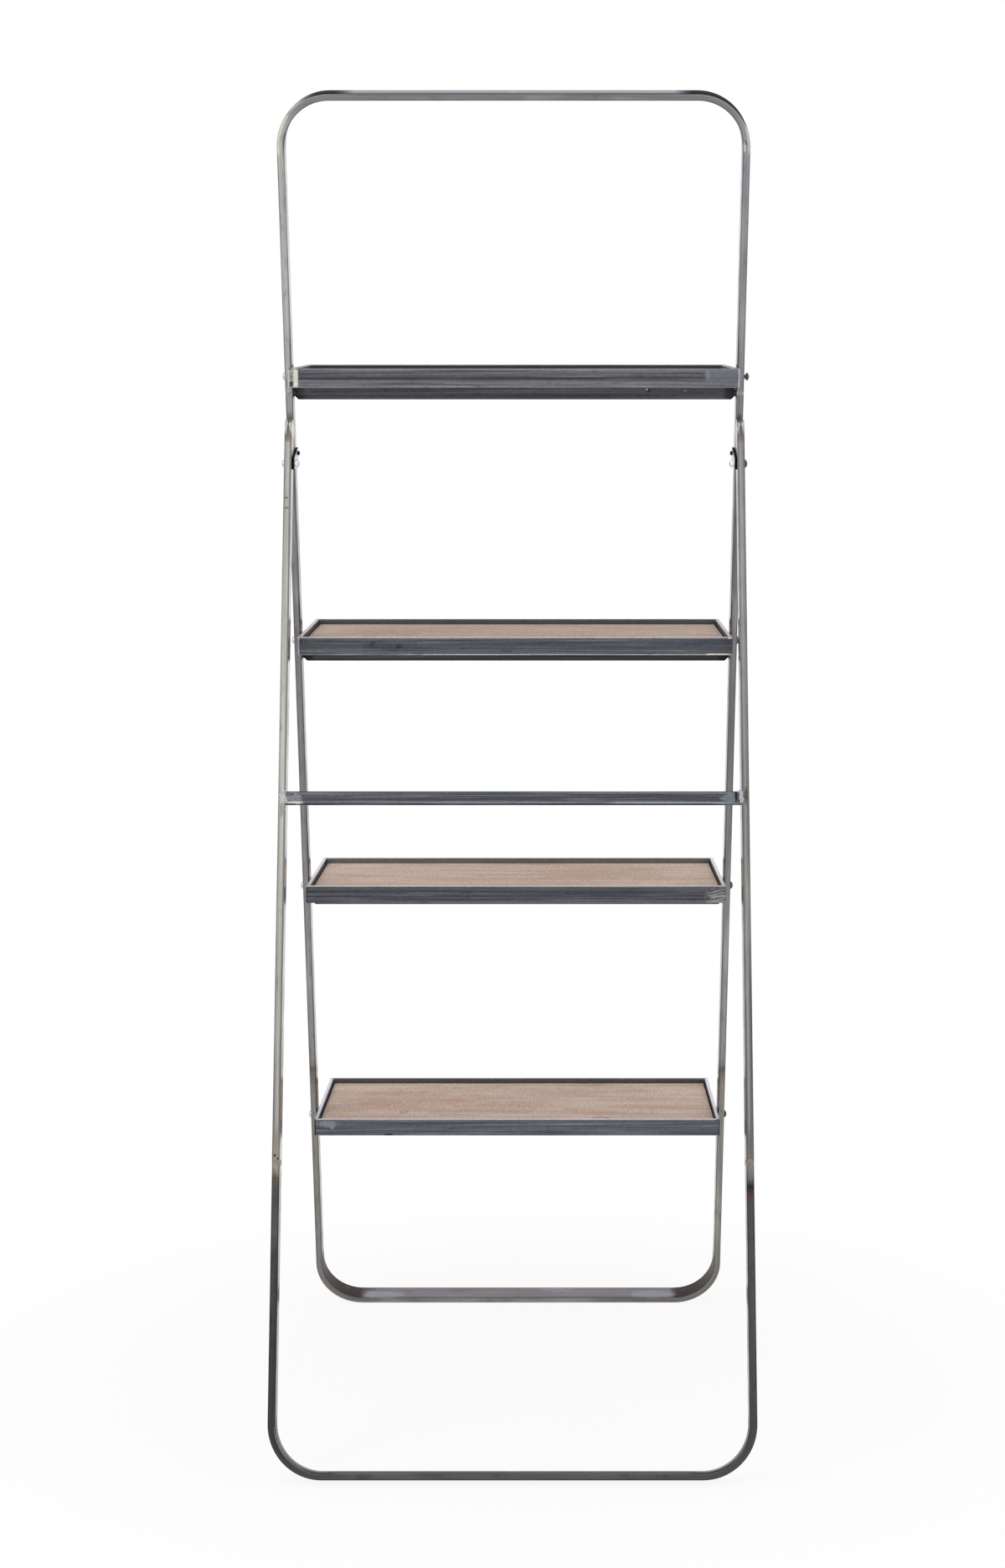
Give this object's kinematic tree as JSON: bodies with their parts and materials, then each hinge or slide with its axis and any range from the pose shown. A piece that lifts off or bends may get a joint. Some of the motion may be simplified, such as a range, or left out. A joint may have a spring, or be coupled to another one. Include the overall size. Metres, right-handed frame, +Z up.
{
  "type": "plant ladder stand",
  "caption": "Folding ladder-shaped plant stand: leaning flat-tube step frame with pivoting angle-iron shelves and wooden panels, held open by a hinged support frame.",
  "frame": {"origin": "centre of the floor rectangle that the opened stand covers", "axes": "+Z up, +X to the right across the shelves, -Y towards the side where the support frame stands"},
  "size_m": [0.6316, 0.9404, 1.7772],
  "materials": {
    "flat_tube": "bare drawn steel tube, satin, heat tint beside the welds",
    "dark_flat_tube": "bare drawn steel tube with a dark oxide skin",
    "flat_bar": "hot rolled flat bar with blue-grey mill scale",
    "angle_steel": "hot rolled equal angle with blue-grey mill scale, edges worn bright",
    "blackened_plate": "blackened steel plate and screws, satin",
    "zinc_fasteners": "bright zinc plated bolts, nuts and washers",
    "wood_panel": "pale washed reddish hardwood board, sawn, with crosswise saw marks"
  },
  "bodies": {
    "step_frame": {"step_frame_top_bow": "flat_tube", "step_frame_left_stile": "flat_tube", "step_frame_right_stile": "flat_tube", "step_frame_bottom_bow": "flat_tube", "shelf_rest_bar_1": "flat_bar", "shelf_rest_bar_2": "flat_bar", "shelf_rest_bar_3": "flat_bar", "shelf_rest_bar_4": "flat_bar", "hinge_plate_left": "blackened_plate", "hinge_plate_right": "blackened_plate", "hinge_bolt_left": "zinc_fasteners", "hinge_bolt_right": "zinc_fasteners", "hinge_nut_left": "zinc_fasteners", "hinge_nut_right": "zinc_fasteners", "plate_screw_left": "blackened_plate", "plate_screw_right": "blackened_plate"},
    "support_frame": {"support_left_leg": "flat_tube", "support_right_leg": "flat_tube", "support_foot_bow": "dark_flat_tube", "support_crossbar": "flat_bar"},
    "shelf_1": {"shelf_1_front_rail": "angle_steel", "shelf_1_back_rail": "angle_steel", "shelf_1_left_rail": "angle_steel", "shelf_1_right_rail": "angle_steel", "shelf_1_wood_panel": "wood_panel", "shelf_1_left_bolt": "zinc_fasteners", "shelf_1_right_bolt": "zinc_fasteners", "shelf_1_left_washer": "zinc_fasteners", "shelf_1_right_washer": "zinc_fasteners"},
    "shelf_2": {"shelf_2_front_rail": "angle_steel", "shelf_2_back_rail": "angle_steel", "shelf_2_left_rail": "angle_steel", "shelf_2_right_rail": "angle_steel", "shelf_2_wood_panel": "wood_panel", "shelf_2_left_bolt": "zinc_fasteners", "shelf_2_right_bolt": "zinc_fasteners", "shelf_2_left_washer": "zinc_fasteners", "shelf_2_right_washer": "zinc_fasteners"},
    "shelf_3": {"shelf_3_front_rail": "angle_steel", "shelf_3_back_rail": "angle_steel", "shelf_3_left_rail": "angle_steel", "shelf_3_right_rail": "angle_steel", "shelf_3_wood_panel": "wood_panel", "shelf_3_left_bolt": "zinc_fasteners", "shelf_3_right_bolt": "zinc_fasteners", "shelf_3_left_washer": "zinc_fasteners", "shelf_3_right_washer": "zinc_fasteners"},
    "shelf_4": {"shelf_4_front_rail": "angle_steel", "shelf_4_back_rail": "angle_steel", "shelf_4_left_rail": "angle_steel", "shelf_4_right_rail": "angle_steel", "shelf_4_wood_panel": "wood_panel", "shelf_4_left_bolt": "zinc_fasteners", "shelf_4_right_bolt": "zinc_fasteners", "shelf_4_left_washer": "zinc_fasteners", "shelf_4_right_washer": "zinc_fasteners"}
  },
  "joints": [
    {"name": "support_fold", "type": "hinge", "parent": "step_frame", "child": "support_frame", "pos_m": [0, -0.07904, 1.28993], "axis": [1, 0, 0], "range_deg": [0, 32.05]},
    {"name": "shelf_1_fold", "type": "hinge", "parent": "step_frame", "child": "shelf_1", "pos_m": [0, -0.05504, 1.40782], "axis": [1, 0, 0], "range_deg": [0, 102.3]},
    {"name": "shelf_2_fold", "type": "hinge", "parent": "step_frame", "child": "shelf_2", "pos_m": [0, 0.04731, 1.04369], "axis": [1, 0, 0], "range_deg": [0, 103.9]},
    {"name": "shelf_3_fold", "type": "hinge", "parent": "step_frame", "child": "shelf_3", "pos_m": [0, 0.14966, 0.67956], "axis": [1, 0, 0], "range_deg": [0, 106.1]},
    {"name": "shelf_4_fold", "type": "hinge", "parent": "step_frame", "child": "shelf_4", "pos_m": [0, 0.25201, 0.31543], "axis": [1, 0, 0], "range_deg": [0, 106.8]}
  ]
}
